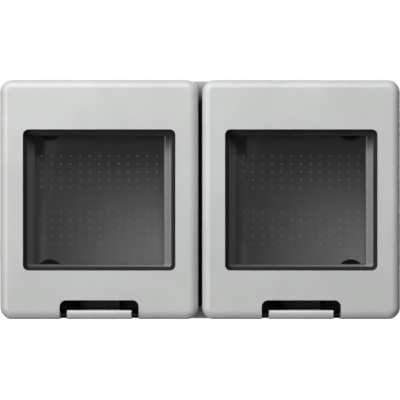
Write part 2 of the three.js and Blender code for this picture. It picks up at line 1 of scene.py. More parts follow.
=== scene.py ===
"""Looks for a twin weatherproof rocker wall switch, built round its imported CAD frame.

Lengths are in millimetres, apart from those of the lights and the camera, which are in metres. "Depth" is
the distance from the wall, so a point at depth d has y = -d. The sizes are the CAD model's own, except that
the rocker keys are up to 0.3 mm larger on each side.
"""

import math

import bmesh
import bpy
from mathutils import Matrix, Vector


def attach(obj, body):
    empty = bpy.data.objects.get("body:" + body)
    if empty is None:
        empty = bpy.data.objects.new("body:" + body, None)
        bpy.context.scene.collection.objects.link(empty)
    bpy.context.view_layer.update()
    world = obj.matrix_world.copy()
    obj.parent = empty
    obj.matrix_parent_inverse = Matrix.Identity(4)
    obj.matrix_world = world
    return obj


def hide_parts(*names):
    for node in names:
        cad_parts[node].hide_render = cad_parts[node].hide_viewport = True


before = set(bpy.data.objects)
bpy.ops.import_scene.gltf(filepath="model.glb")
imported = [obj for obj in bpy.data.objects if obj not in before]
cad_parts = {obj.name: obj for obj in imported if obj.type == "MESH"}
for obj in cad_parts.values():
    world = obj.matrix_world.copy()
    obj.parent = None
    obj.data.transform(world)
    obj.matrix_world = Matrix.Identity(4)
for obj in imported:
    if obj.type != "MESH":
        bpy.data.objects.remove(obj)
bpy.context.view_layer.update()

MM = 0.001
SIDES = (("left", -1), ("right", 1))

# ------------------------------------------------------------------ dimensions

WIDTH, HEIGHT = 138, 82.5
LID_GAP = 1.4
CORNER_R = 4.2
BAY_X = (WIDTH + LID_GAP) / 4
BAY_Z = -0.1

BOX_HALF = (67, 39)
BOX_R = 4.5
BOX_WALL = 2.4
BOX_FLOOR = 2.6
BOX_RIM = 40.9
POST_R, POST_TOP, POST_BORE_R, POST_BORE_FLOOR = 3.2, 40.6, 1.55, 26
FIXING_X, FIXING_Z, FIXING_R = 59.5, 31, 3.1
ENTRY_DEPTH, ENTRY_R = 18, 9.5

COVER_SKIRT = 34.5
COVER_BACK = 42.6
SHELF_FACE = 44.2
SHELF_Z = 34.6
COVER_FACE = 46.5
BAY_FRONT_HALF, BAY_REAR_HALF, BAY_LEDGE = 22.6, 21.8, 43.7
BOSS_HEIGHT, SCREW_HOLE_R = 2.1, 1.9
SEAL_HALF, SEAL_R, SEAL_Z = (67.6, 35.45), 2.5, -1.45
SEAL_HOLE_HALF, SEAL_HOLE_R, SEAL_HOLE_Z = (30.6, 32.1), 2, -0.5
SEAL_GROOVE = 1.2
POCKET_HALF_W, POCKET_TOP, POCKET_BACK = 14.4, -37.75, 43.4

LID_BACK, LID_PLATE, LID_FRONT = 48, 59.6, 62
LID_HALF_W = (WIDTH - LID_GAP) / 4
LID_WALL = 2.2
LID_EDGE_R = 3
WINDOW_HALF, WINDOW_R = (26.3, 24.35), 1.9
NOTCH_HALF_W, NOTCH_TOP, NOTCH_R = 13.65, -34.65, 2.2
RIB_TOP, RIB_BOTTOM = (32.0, 33.7), (-34.4, -32.8)
STAKE_X, STAKE_Z, STAKE_R = 29.2, 27.2, 0.9
CATCH_HALF_W = 7

HINGE_DEPTH, HINGE_Z, HINGE_BARREL_R, HINGE_BORE_R = 50.3, 36.3, 2.0, 1.15
LUG_FROM, LUG_TO, LUG_BORE_END = 22.9, 26.9, 28
KNUCKLE_FROM, KNUCKLE_TO, KNUCKLE_BORE_END = 27.6, 30.0, 30.5
LATCH_DEPTH, LATCH_Z, LATCH_HALF_W = 45.2, -39.65, 11.1
LATCH_BORE_R, LATCH_BARREL_R, LATCH_BORE_END = 0.85, 1.4, 16.2
SCREW_X, SCREW_Z = 17.3, 25.4
BOSS_R, SINK_R, HEAD_R, SHANK_R, RELIEF_R = 4.2, 3.5, 3.2, 1.25, 4.8
SLOT_HALF = (1.9, 0.4)
ROCKER_DEPTH, ROCKER_TILT = 46, 4
KEY_HALF = (22.45, 22.3)
PAD_HALF = (22.75, 22.55)
PAD_BACK, PAD_FRONT = 55.8, 56.8
FILM_HALF, PAD_EDGE_HALF, TRAY_HALF = (22.3, 22.2), (22.85, 22.6), (24.9, 23.0)
DOT_R, DOT_HEIGHT = 0.32, 0.16
DOT_COLUMNS, DOT_STEP_X = 13, 3.32
DOT_ROWS, DOT_STEP_Z, DOT_FIELD_Z = 5, 2.73, 9.8


# ------------------------------------------------------------------ meshes


def add_object(name, bm):
    """The bmesh, which is in millimetres, as an object of the scene."""
    bmesh.ops.remove_doubles(bm, verts=bm.verts, dist=1e-5)
    bmesh.ops.recalc_face_normals(bm, faces=bm.faces)
    bmesh.ops.scale(bm, vec=(MM, MM, MM), verts=bm.verts)
    mesh = bpy.data.meshes.new(name)
    bm.to_mesh(mesh)
    bm.free()
    obj = bpy.data.objects.new(name, mesh)
    bpy.context.scene.collection.objects.link(obj)
    return obj


def rounded_rect(half_w, half_h, r, middle_z=0, steps=10):
    """Corners of a rounded rectangle as (x, z), anticlockwise."""
    points = []
    for quarter, (sx, sz) in enumerate([(1, 1), (-1, 1), (-1, -1), (1, -1)]):
        for step in range(steps + 1):
            angle = math.pi / 2 * (quarter + step / steps)
            x = sx * (half_w - r) + r * math.cos(angle)
            z = sz * (half_h - r) + r * math.sin(angle)
            points.append((x, z + middle_z))
    return points


def loft(name, rings, closed=False):
    """A skin over rings of points (x, depth, z). Unless closed, each end gets a face."""
    bm = bmesh.new()
    loops = [[bm.verts.new((x, -d, z)) for x, d, z in ring] for ring in rings]
    count = len(loops[0])
    pairs = list(zip(loops, loops[1:]))
    if closed:
        pairs.append((loops[-1], loops[0]))
    for a, b in pairs:
        for i in range(count):
            j = (i + 1) % count
            bm.faces.new((a[i], a[j], b[j], b[i]))
    if not closed:
        bm.faces.new(loops[0])
        bm.faces.new(loops[-1])
    return add_object(name, bm)


def slab(outline, near, far):
    """An outline in the X-Z plane made solid from one depth to another."""
    return loft("slab", [[(x, d, z) for x, z in outline] for d in (near, far)])


def block(x0, x1, z0, z1, near, far):
    return slab([(x0, z0), (x1, z0), (x1, z1), (x0, z1)], near, far)


def circle(r, steps=48, x=0, z=0):
    angles = [2 * math.pi * i / steps for i in range(steps)]
    return [(x + r * math.cos(a), z + r * math.sin(a)) for a in angles]


def disc(x, z, r, near, far, steps=48):
    return slab(circle(r, steps, x, z), near, far)


def rod(x0, x1, depth, z, r, steps=32):
    """A round bar along X."""
    return loft("rod", [[(x, depth + a, z + b) for a, b in circle(r, steps)] for x in (x0, x1)])


def bar(profile, x0, x1):
    """A side profile of (depth, z) points made solid from x0 to x1."""
    return loft("bar", [[(x, d, z) for d, z in profile] for x in (x0, x1)])


def arc(depth, z, r, start, end, steps=8):
    """Points (depth, z) on an arc, with its angles in degrees."""
    angles = [math.radians(start + (end - start) * i / steps) for i in range(steps + 1)]
    return [(depth + r * math.cos(a), z + r * math.sin(a)) for a in angles]


def combine(base, operation, others):
    """base joined to or cut by the others, which are used up."""
    for other in others:
        modifier = base.modifiers.new("boolean", "BOOLEAN")
        modifier.operation = operation
        modifier.solver = "MANIFOLD"
        modifier.object = other
        evaluated = base.evaluated_get(bpy.context.evaluated_depsgraph_get())
        mesh = bpy.data.meshes.new_from_object(evaluated)
        base.modifiers.clear()
        old = base.data
        base.data = mesh
        bpy.data.meshes.remove(old)
        bpy.data.objects.remove(other)
    return base


def join(base, *others):
    return combine(base, "UNION", others)


def cut(base, *others):
    return combine(base, "DIFFERENCE", others)


def smooth(obj, edge=0.25, segments=2, angle=32):
    """Rounds the piece's sharp edges by a fraction of a millimetre and shades it smooth."""
    for polygon in obj.data.polygons:
        polygon.use_smooth = True
    if edge:
        bevel = obj.modifiers.new("edges", "BEVEL")
        bevel.width = edge * MM
        bevel.segments = segments
        bevel.limit_method = "ANGLE"
        bevel.angle_limit = math.radians(angle)
        bevel.miter_outer = "MITER_ARC"
    weighted = obj.modifiers.new("normals", "WEIGHTED_NORMAL")
    weighted.keep_sharp = True
    return obj


def moved(obj, x=0, y=0, z=0):
    obj.data.transform(Matrix.Translation(Vector((x, y, z)) * MM))
    return obj


def corners(x, z, middle_z=0):
    return [(sx * x, sz * z + middle_z) for sz in (-1, 1) for sx in (-1, 1)]


def ordered(a, b):
    return min(a, b), max(a, b)


# ------------------------------------------------------------------ materials


class Nodes:
    """Short ways to add and link the nodes of one material or world."""

    def __init__(self, tree):
        self.tree = tree

    def add(self, kind, inputs=None, **settings):
        node = self.tree.nodes.new(kind)
        for key, value in settings.items():
            setattr(node, key, value)
        for key, value in (inputs or {}).items():
            if isinstance(value, bpy.types.NodeSocket):
                self.link(value, node.inputs[key])
            else:
                node.inputs[key].default_value = value
        return node

    def link(self, output, socket):
        self.tree.links.new(output, socket)

    def place(self):
        """Where on the object the coloured point is, in metres."""
        return self.add("ShaderNodeTexCoord").outputs["Object"]

    def place_x_z(self):
        axes = self.add("ShaderNodeSeparateXYZ", {"Vector": self.place()}).outputs
        return axes["X"], axes["Z"]

    def ramp(self, fac, low, high, start=0.0, end=1.0):
        node = self.add("ShaderNodeValToRGB", {"Fac": fac})
        node.color_ramp.elements[0].position = start
        node.color_ramp.elements[1].position = end
        node.color_ramp.elements[0].color = (*low, 1)
        node.color_ramp.elements[1].color = (*high, 1)
        return node.outputs["Color"]

    def noise(self, where, scale, detail=2.0):
        inputs = {"Vector": where, "Scale": scale, "Detail": detail}
        return self.add("ShaderNodeTexNoise", inputs).outputs["Fac"]

    def bump(self, height, strength, distance):
        inputs = {"Strength": strength, "Distance": distance, "Height": height}
        return self.add("ShaderNodeBump", inputs).outputs["Normal"]

    def span(self, value, low, high):
        """A value from 0 to 1, spread from low to high."""
        inputs = {"Value": value, "To Min": low, "To Max": high}
        return self.add("ShaderNodeMapRange", inputs).outputs["Result"]

    def fade(self, value, start, end):
        """0 where a length is at start and 1 where it is at end, both in millimetres, with a soft change."""
        inputs = {"Value": value, "From Min": start * MM, "From Max": end * MM}
        return self.add("ShaderNodeMapRange", inputs, interpolation_type="SMOOTHSTEP").outputs["Result"]

    def math(self, operation, a, b=0.0):
        return self.add("ShaderNodeMath", {0: a, 1: b}, operation=operation).outputs["Value"]

    def times(self, a, b):
        return self.math("MULTIPLY", a, b)


def new_material(name):
    """A material, its nodes and its shader."""
    material = bpy.data.materials.new(name)
    material.use_nodes = True
    tree = material.node_tree
    return material, Nodes(tree), tree.nodes["Principled BSDF"]


def eroded(name, rough, grain=1.0, coat=0.0, specular=0.5):
    """A moulded surface that has no colour yet: a fine spark-eroded grain and uneven gloss."""
    material, nodes, shader = new_material(name)
    where = nodes.place()
    gloss = nodes.noise(where, 900.0)
    nodes.link(nodes.span(gloss, rough - 0.05, rough + 0.06), shader.inputs["Roughness"])
    fine = nodes.noise(where, 5200.0)
    nodes.link(nodes.bump(fine, 0.12 * grain, 0.04 * MM), shader.inputs["Normal"])
    shader.inputs["Coat Weight"].default_value = coat
    shader.inputs["Coat Roughness"].default_value = 0.18
    shader.inputs["Specular IOR Level"].default_value = specular
    return material, nodes, shader


def moulded(name, color, rough, grain=1.0, spread=0.04, specular=0.5):
    """Moulded plastic or rubber: an eroded surface with faint flow marks in its colour."""
    material, nodes, shader = eroded(name, rough, grain, specular=specular)
    flow = nodes.noise(nodes.place(), 55.0, 3.0)
    low = [c * (1 - spread) for c in color]
    high = [min(1.0, c * (1 + spread)) for c in color]
    nodes.link(nodes.ramp(flow, low, high, 0.3, 0.7), shader.inputs["Base Color"])
    return material


def metal(name, color, rough=0.3):
    """Plated or plain metal with fine drawn marks along X and uneven tarnish."""
    material, nodes, shader = new_material(name)
    where = nodes.place()
    tarnish = nodes.noise(where, 160.0, 4.0)
    low = [c * 0.82 for c in color]
    nodes.link(nodes.ramp(tarnish, low, color, 0.3, 0.65), shader.inputs["Base Color"])
    along_x = nodes.add("ShaderNodeMapping", {"Vector": where, "Scale": (0.1, 1, 1)}).outputs["Vector"]
    marks = nodes.noise(along_x, 2500.0, 3.0)
    nodes.link(nodes.span(marks, rough - 0.08, rough + 0.12), shader.inputs["Roughness"])
    nodes.link(nodes.bump(marks, 0.15, 0.03 * MM), shader.inputs["Normal"])
    shader.inputs["Metallic"].default_value = 1.0
    return material


def film_with_painted_light(name, middle_x):
    """The window's smoked film. How much it lets through is painted light and shade: more towards its lower
    right, where light falls, and less towards its upper left, in the lid's shadow.

    The light crosses four surfaces on its way in and out of the pad, so each lets the fourth root through.
    """
    material = moulded(name, (0.006, 0.0065, 0.006), rough=0.3, grain=0.6, specular=0.35)
    nodes = Nodes(material.node_tree)
    x, z = nodes.place_x_z()
    to_right = nodes.fade(x, middle_x - 30, middle_x + 21)
    through = nodes.span(nodes.times(to_right, nodes.fade(z, 21, -22)), 0.045, 0.235)
    left = nodes.fade(x, middle_x - 17.5, middle_x - 21)
    painted_light_lower_right = nodes.times(nodes.fade(x, middle_x + 12, middle_x + 22), nodes.fade(z, 0, -20))
    top = nodes.fade(z, 11, 22)
    painted_light_upper_left = nodes.times(left, nodes.fade(z, 11, 17))
    # Painted light: the film lets more through along its left and top edges, in its upper left corner and at
    # its lower right, to lift the shade there.
    for gain, place in ((0.09, left), (0.04, painted_light_lower_right), (0.03, top), (0.16, painted_light_upper_left)):
        through = nodes.math("ADD", through, nodes.span(place, 0, gain))
    alpha = nodes.math("SUBTRACT", 1, nodes.math("POWER", through, 0.25))
    nodes.link(alpha, material.node_tree.nodes["Principled BSDF"].inputs["Alpha"])
    return material


def wall_rubber_painted_light(name, middle_x, color):
    """The rubber of the tray's walls and the pad's edge, with painted light and shade: paler on the right,
    where light from the left falls, and darker near the top, as a painted shadow of the lid.
    """
    material, nodes, shader = eroded(name, rough=0.3, coat=0.4)
    x, z = nodes.place_x_z()
    across = nodes.span(nodes.fade(x, middle_x - 23, middle_x + 23), 0.43, 1)
    painted_top_shade = nodes.span(nodes.fade(z, 23, 14), 0.12, 1)
    nodes.link(nodes.ramp(nodes.times(across, painted_top_shade), (0, 0, 0), color), shader.inputs["Base Color"])
    return material


def dot_rubber_painted_light(name, middle_x):
    """The rubber of the grip dots, with painted light: paler towards the window's lower right, as the film
    is.
    """
    material, nodes, shader = eroded(name, rough=0.35, grain=0.5)
    x, z = nodes.place_x_z()
    painted_light_tone = nodes.times(nodes.fade(x, middle_x - 26, middle_x + 19), nodes.fade(z, 19, -20))
    color = nodes.ramp(painted_light_tone, (0.05, 0.053, 0.05), (0.14, 0.147, 0.14))
    nodes.link(color, shader.inputs["Base Color"])
    return material


def cover_plastic():
    """The housing's plastic, with painted shade: near black in the slot between the two lids and round the
    latch pockets.
    """
    material = moulded("cover_plastic", HOUSING_COLOR, rough=0.4)
    nodes = Nodes(material.node_tree)
    base = material.node_tree.nodes["Principled BSDF"].inputs["Base Color"]
    x, z = nodes.place_x_z()
    from_middle = nodes.math("ABSOLUTE", x)
    in_slot = nodes.fade(from_middle, 2.4, 1)
    slot_painted_shade = nodes.times(in_slot, nodes.fade(nodes.math("ABSOLUTE", z), 42.6, 34.2))
    from_bay = nodes.math("ABSOLUTE", nodes.math("SUBTRACT", from_middle, BAY_X * MM))
    near_pocket = nodes.fade(from_bay, POCKET_HALF_W + 0.2, POCKET_HALF_W)
    pocket_painted_shade = nodes.times(near_pocket, nodes.fade(z, -36.6, -36.8))
    # Painted shade in the slot between the lids and round the latch pockets.
    painted_shade = nodes.math("MAXIMUM", slot_painted_shade, pocket_painted_shade)
    inputs = {"Fac": painted_shade, "Color1": base.links[0].from_socket, "Color2": (0.012, 0.012, 0.012, 1)}
    nodes.link(nodes.add("ShaderNodeMixRGB", inputs).outputs["Color"], base)
    return material


HOUSING_COLOR = (0.585, 0.6, 0.585)
HOUSING = moulded("housing_plastic", HOUSING_COLOR, rough=0.4)
COVER_PLASTIC = cover_plastic()
BOX_PLASTIC = moulded("box_plastic", (0.565, 0.58, 0.565), rough=0.46, grain=1.6)
LATCH_PLASTIC = moulded("latch_plastic", (0.7, 0.705, 0.69), rough=0.36)
RIM_RUBBER = moulded("rim_rubber", (0.012, 0.013, 0.012), rough=0.42, grain=1.2)
SEAL_RUBBER_AND_PAINTED_SHADE = moulded("seal_rubber", (0.008, 0.008, 0.008), rough=0.75, grain=1.5, specular=0.3)
FRAME_AND_PAINTED_SHADE_PLASTIC = moulded("frame_and_painted_shade_plastic", (0.014, 0.015, 0.014), rough=0.5)
KEY_PLASTIC = moulded("key_plastic", (0.55, 0.57, 0.55), rough=0.36)
MECHANISM_PLASTIC = moulded("mechanism_plastic", (0.62, 0.61, 0.57), rough=0.5)
CARRIER_PLASTIC = moulded("carrier_plastic", (0.7, 0.69, 0.64), rough=0.45)
GROMMET_RUBBER = moulded("grommet_rubber", (0.22, 0.23, 0.22), rough=0.6, grain=1.5, spread=0.08)
STEEL = metal("zinc_steel", (0.56, 0.57, 0.6))
DARK_STEEL = metal("blackened_steel", (0.03, 0.03, 0.032), rough=0.38)
BRASS = metal("brass", (0.72, 0.5, 0.2), rough=0.28)


def dress(obj, name, body, material, nodes=(), edge=0.25, segments=2):
    """Names a finished piece, rides it on its body, and gives it its material."""
    obj.name = name
    obj.data.name = name
    obj.data.materials.clear()
    obj.data.materials.append(material)
    smooth(obj, edge, segments)
    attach(obj, body)
    if nodes:
        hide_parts(*nodes)
    return obj


# ------------------------------------------------------------------ back box and its grommets


def make_back_box():
    half_w, half_h = BOX_HALF
    body = slab(rounded_rect(half_w, half_h, BOX_R, steps=14), 0, BOX_RIM)
    inner = rounded_rect(half_w - BOX_WALL, half_h - BOX_WALL, BOX_R - BOX_WALL)
    body = cut(body, slab(inner, BOX_FLOOR, BOX_RIM + 1))
    posts = corners(BAY_X + SCREW_X, SCREW_Z, BAY_Z)
    fixings = corners(FIXING_X, FIXING_Z)
    body = join(body, *[disc(x, z, POST_R, BOX_FLOOR - 1, POST_TOP) for x, z in posts])
    body = cut(body, *[disc(x, z, POST_BORE_R, POST_BORE_FLOOR, BOX_RIM + 1, 24) for x, z in posts])
    body = cut(body, *[disc(x, z, FIXING_R, -1, BOX_FLOOR + 1) for x, z in fixings])
    for _, side in SIDES:
        around = circle(ENTRY_R, 64, side * BAY_X, ENTRY_DEPTH)
        body = cut(body, loft("entry", [[(x, depth, z) for x, depth in around] for z in (-HEIGHT, HEIGHT)]))
    return body


def make_grommet(up):
    """A turned rubber cable entry, with its grooved neck and a ringed, closed centre."""
    wall_in = BOX_HALF[1] - BOX_WALL
    wall_out = BOX_HALF[1]
    profile = [
        (0.01, wall_in - 4.6),
        (3.4, wall_in - 4.6),
        (7.2, wall_in - 1.8),
        (11.2, wall_in - 1.8),
        (11.2, wall_in - 0.3),
        (9.2, wall_in - 0.3),
        (9.2, wall_out + 0.3),
        (11.8, wall_out + 0.3),
        (11.7, wall_out + 0.9),
        (11.2, wall_out + 1.5),
        (10.6, wall_out + 1.7),
        (8.1, wall_out + 1.7),
        (7.5, wall_out + 1.4),
        (6.2, wall_out - 1.2),
        (6.0, wall_out - 1.3),
        (5.2, wall_in - 0.4),
        (5.0, wall_in - 0.5),
        (3.2, wall_in - 3.6),
        (1.2, wall_in - 3.6),
        (0.9, wall_in - 3.3),
        (0.01, wall_in - 3.3),
    ]
    rings = [[(a, b, up * h) for a, b in circle(r, 64)] for r, h in profile]
    return moved(loft("grommet", rings), y=-ENTRY_DEPTH)


dress(make_back_box(), "back_box_shell", "housing", BOX_PLASTIC, ["back_box"], edge=0.35)
for label, side in SIDES:
    for place, up in (("top", 1), ("bottom", -1)):
        grommet = moved(make_grommet(up), x=side * BAY_X)
        node = f"{place}_grommet_{label}"
        dress(grommet, f"{node}_rubber", "housing", GROMMET_RUBBER, [node], edge=0)

# ------------------------------------------------------------------ front cover, seals and screws


def seal_outline(near, far, grow):
    """The figure-of-eight that both lids close on."""
    outer = rounded_rect(SEAL_HALF[0] + grow, SEAL_HALF[1] + grow, SEAL_R, SEAL_Z)
    inner = rounded_rect(SEAL_HOLE_HALF[0] - grow, SEAL_HOLE_HALF[1] - grow, SEAL_HOLE_R, SEAL_HOLE_Z)
    body = slab(outer, near, far)
    for _, side in SIDES:
        body = cut(body, moved(slab(inner, near - 1, far + 1), x=side * BAY_X))
    return body


def square_hole(half):
    return rounded_rect(half, half, 1, BAY_Z)


def make_front_cover():
    body = slab(rounded_rect(WIDTH / 2, HEIGHT / 2, CORNER_R, steps=16), COVER_SKIRT, COVER_FACE)
    over_box = rounded_rect(BOX_HALF[0] + 0.3, BOX_HALF[1] + 0.3, BOX_R + 0.3, steps=14)
    body = cut(
        body,
        slab(over_box, COVER_SKIRT - 1, COVER_BACK),
        block(-WIDTH, WIDTH, SHELF_Z, HEIGHT, SHELF_FACE, COVER_FACE + 1),
        seal_outline(COVER_FACE - SEAL_GROOVE, COVER_FACE + 1, 0.2),
    )
    for _, side in SIDES:
        bay = side * BAY_X
        body = cut(
            body,
            moved(slab(square_hole(BAY_FRONT_HALF), BAY_LEDGE, COVER_FACE + 1), x=bay),
            moved(slab(square_hole(BAY_REAR_HALF), COVER_BACK - 1, COVER_FACE), x=bay),
            block(bay - POCKET_HALF_W, bay + POCKET_HALF_W, -HEIGHT, POCKET_TOP, POCKET_BACK, COVER_FACE + 1),
            rod(bay - LATCH_BORE_END, bay + LATCH_BORE_END, LATCH_DEPTH, LATCH_Z, LATCH_BORE_R),
        )
        for end in (-1, 1):
            x0, x1 = ordered(bay + end * LUG_FROM, bay + end * LUG_TO)
            neck = block(x0, x1, HINGE_Z - 2, HINGE_Z + 2, COVER_BACK + 0.5, HINGE_DEPTH)
            body = join(body, neck, rod(x0, x1, HINGE_DEPTH, HINGE_Z, HINGE_BARREL_R))
        bore = rod(bay - LUG_BORE_END, bay + LUG_BORE_END, HINGE_DEPTH, HINGE_Z, HINGE_BORE_R)
        body = cut(body, bore)
    for x, z in corners(BAY_X + SCREW_X, SCREW_Z, BAY_Z):
        body = join(body, disc(x, z, BOSS_R, COVER_BACK, COVER_FACE + BOSS_HEIGHT, 64))
        body = cut(body, disc(x, z, SINK_R, COVER_FACE - 1.6, COVER_FACE + 3, 64))
        body = cut(body, disc(x, z, SCREW_HOLE_R, COVER_BACK - 1, COVER_FACE, 32))
    return body


def make_cover_screw(x, z):
    seat = COVER_FACE - 1.3
    dome = [(HEAD_R, 0), (HEAD_R, 0.9), (3.1, 1.25), (2.9, 1.55), (2.6, 1.8), (2.0, 2.0)]
    rings = [[(x + a, seat + d, z + b) for a, b in circle(r, 64)] for r, d in dome]
    screw = join(loft("screw", rings), disc(x, z, SHANK_R, 28, seat + 0.5, 32))
    for half_w, half_h in (SLOT_HALF, SLOT_HALF[::-1]):
        screw = cut(screw, block(x - half_w, x + half_w, z - half_h, z + half_h, seat + 0.9, seat + 3))
    return screw


def paint_recess_shade(cover):
    """Paints shade into the latch pockets, the screw bosses' rims and their sinks, by giving them the black
    rubber's material.
    """
    cover.data.materials.append(SEAL_RUBBER_AND_PAINTED_SHADE)
    for polygon in cover.data.polygons:
        x, y, z = polygon.center / MM
        across, depth = abs(abs(x) - BAY_X), -y
        from_screw = min(math.dist((x, z), at) for at in corners(BAY_X + SCREW_X, SCREW_Z, BAY_Z))
        in_pocket = across < POCKET_HALF_W + 0.1 and z < POCKET_TOP + 0.05
        in_pocket = in_pocket and POCKET_BACK - 0.1 < depth < COVER_FACE - 0.01
        in_sink = from_screw < SINK_R + 0.05 and depth > COVER_FACE - 1.7
        on_boss = from_screw < BOSS_R + 0.05 and depth > COVER_FACE + 0.01
        # Painted shade: the pockets, boss rims and sinks are made black.
        if in_pocket or in_sink or on_boss:
            polygon.material_index = 1


cover = make_front_cover()
dress(cover, "front_cover_shell", "housing", COVER_PLASTIC, ["front_cover"], edge=0.35)
paint_recess_shade(cover)
seal = seal_outline(COVER_FACE - 0.9, COVER_FACE + 1.2, 0)
dress(seal, "lid_seal_rubber", "housing", SEAL_RUBBER_AND_PAINTED_SHADE, ["lid_seal"], edge=0.45, segments=4)
# The screws are blackened steel; their near-black tone is also painted shade for the dark sinks round them.
for index, (x, z) in enumerate(corners(BAY_X + SCREW_X, SCREW_Z, BAY_Z)):
    node = f"cover_screw_{index + 1}"
    dress(make_cover_screw(x, z), f"{node}_steel", "housing", DARK_STEEL, [node], edge=0.12)

# ------------------------------------------------------------------ lids, in their bay's frame


def notch_outline():
    half_w, r = NOTCH_HALF_W, NOTCH_R
    right = arc(half_w - r, NOTCH_TOP - r, r, 0, 90)
    left = arc(-half_w + r, NOTCH_TOP - r, r, 90, 180)
    return [(half_w, -HEIGHT), *right, *left, (-half_w, -HEIGHT)]


def make_lid():
    def ring(inset, depth):
        outline = rounded_rect(LID_HALF_W - inset, HEIGHT / 2 - inset, CORNER_R - inset, steps=14)
        return [(x, depth, z) for x, z in outline]

    rounding = [math.radians(90 * i / 12) for i in range(13)]
    edge = [(LID_EDGE_R * (1 - math.cos(a)), LID_FRONT - LID_EDGE_R * (1 - math.sin(a))) for a in rounding]
    body = loft("lid", [ring(0, LID_BACK), *[ring(inset, depth) for inset, depth in edge]])
    inner = rounded_rect(LID_HALF_W - LID_WALL, HEIGHT / 2 - LID_WALL, 2)
    body = cut(
        body,
        slab(inner, LID_BACK - 1, LID_PLATE),
        block(-WIDTH, WIDTH, HINGE_Z - 0.5, HEIGHT, LID_BACK - 1, HINGE_DEPTH - 0.4),
    )
    half_inside = LID_HALF_W - LID_WALL + 0.3
    for rib in (RIB_TOP, RIB_BOTTOM):
        body = join(body, block(-half_inside, half_inside, *rib, LID_BACK, LID_PLATE + 0.3))
    for end in (-1, 1):
        k0, k1 = ordered(end * KNUCKLE_FROM, end * KNUCKLE_TO)
        web = block(k0, k1, HINGE_Z, HEIGHT / 2 - LID_WALL + 0.3, HINGE_DEPTH - 0.4, HINGE_DEPTH + 2)
        body = join(body, web, rod(k0, k1, HINGE_DEPTH, HINGE_Z, HINGE_BARREL_R))
        n0, n1 = ordered(end * (LUG_FROM - 0.5), end * (LUG_TO + 0.5))
        body = cut(body, block(n0, n1, HINGE_Z + 2, HEIGHT, LID_BACK - 1, HINGE_DEPTH + 3.7))
    stakes = corners(STAKE_X, STAKE_Z, BAY_Z)
    body = join(body, *[disc(x, z, STAKE_R, PAD_BACK - 0.8, LID_PLATE + 0.3, 24) for x, z in stakes])
    return cut(
        body,
        rod(-KNUCKLE_BORE_END, KNUCKLE_BORE_END, HINGE_DEPTH, HINGE_Z, HINGE_BORE_R),
        slab(rounded_rect(*WINDOW_HALF, WINDOW_R, BAY_Z, 12), LID_PLATE - 0.5, LID_FRONT + 1),
        slab(notch_outline(), LID_BACK - 1, LID_FRONT + 1),
    )


def make_lid_catch():
    """The ledge that the latch's tooth holds, with a sloping lead-in at its lower edge."""
    near, far, low, high = 48.2, 49.6, -37.75, -34.1
    profile = [(near + 0.5, low), (far, low), (far, high), (near, high), (near, low + 0.9)]
    return bar(profile, -CATCH_HALF_W, CATCH_HALF_W)


def make_membrane():
    """A rim, sloping tray walls and a flat pad, all one skin of rubber."""

    def ring(half_w, half_h, r, depth):
        return [(x, depth, z) for x, z in rounded_rect(half_w, half_h, r, BAY_Z)]

    pad_w, pad_h = PAD_HALF
    rings = [
        ring(28.2, 26.3, 2.5, 58.25),
        ring(28.2, 26.3, 2.5, 59.35),
        ring(25.0, 23.2, 1.4, 59.35),
        ring(24.85, 23.06, 1.35, 59.3),
        ring(24.72, 22.97, 1.3, 59.15),
        ring(22.95, 22.62, 1.0, 57.0),
        ring(22.8, 22.57, 0.95, 56.84),
        ring(22.55, 22.4, 0.9, PAD_FRONT),
        ring(*FILM_HALF, 0.8, PAD_FRONT),
        ring(pad_w * 0.5, pad_h * 0.5, 0.5, PAD_FRONT),
        ring(pad_w * 0.5, pad_h * 0.5, 0.5, PAD_BACK),
        ring(pad_w + 0.7, pad_h + 0.7, 1.2, PAD_BACK),
        ring(25.25, 23.5, 1.6, 58.25),
    ]
    bm = bmesh.new()
    loops = [[bm.verts.new((x, -d, z)) for x, d, z in loop] for loop in rings]
    count = len(loops[0])
    for a, b in [*zip(loops[:10], loops[1:10]), *zip(loops[10:], loops[11:]), (loops[-1], loops[0])]:
        for i in range(count):
            j = (i + 1) % count
            bm.faces.new((a[i], a[j], b[j], b[i]))
    bm.faces.new(loops[9])
    bm.faces.new(loops[10])
    return add_object("membrane", bm)


def paint_window(window, middle_x, *materials):
    """Gives the pad its film, and its edge and the tray's sloping walls their rubbers; the rim stays dark."""
    for material in materials:
        window.data.materials.append(material)
    for polygon in window.data.polygons:
        x = abs(polygon.center.x / MM - middle_x)
        z = abs(polygon.center.z / MM - BAY_Z)
        zones = (FILM_HALF, PAD_EDGE_HALF, TRAY_HALF)
        inside = [index for index, half in enumerate(zones, 1) if x < half[0] and z < half[1]]
        if inside:
            polygon.material_index = inside[0]


def add_dome(bm, x, z):
    """One grip dot: a low dome that stands on the pad."""
    levels, sides = 3, 12
    below = None
    for level in range(levels):
        angle = math.pi / 2 * level / levels
        depth = PAD_FRONT - 0.02 + DOT_HEIGHT * math.sin(angle)
        loop = [bm.verts.new((a, -depth, b)) for a, b in circle(DOT_R * math.cos(angle), sides, x, z)]
        if below:
            for i in range(sides):
                j = (i + 1) % sides
                bm.faces.new((below[i], below[j], loop[j], loop[i]))
        below = loop
    tip = bm.verts.new((x, -(PAD_FRONT - 0.02 + DOT_HEIGHT), z))
    for i in range(sides):
        bm.faces.new((below[i], below[(i + 1) % sides], tip))


def make_dots(side):
    """The pad's grip dots, in an upper and a lower field."""
    bm = bmesh.new()
    for column in range(DOT_COLUMNS):
        x = side * BAY_X + (column - DOT_COLUMNS // 2) * DOT_STEP_X
        for field in (-1, 1):
            for row in range(DOT_ROWS):
                add_dome(bm, x, BAY_Z + field * DOT_FIELD_Z + (row - DOT_ROWS // 2) * DOT_STEP_Z)
    return add_object("dots", bm)


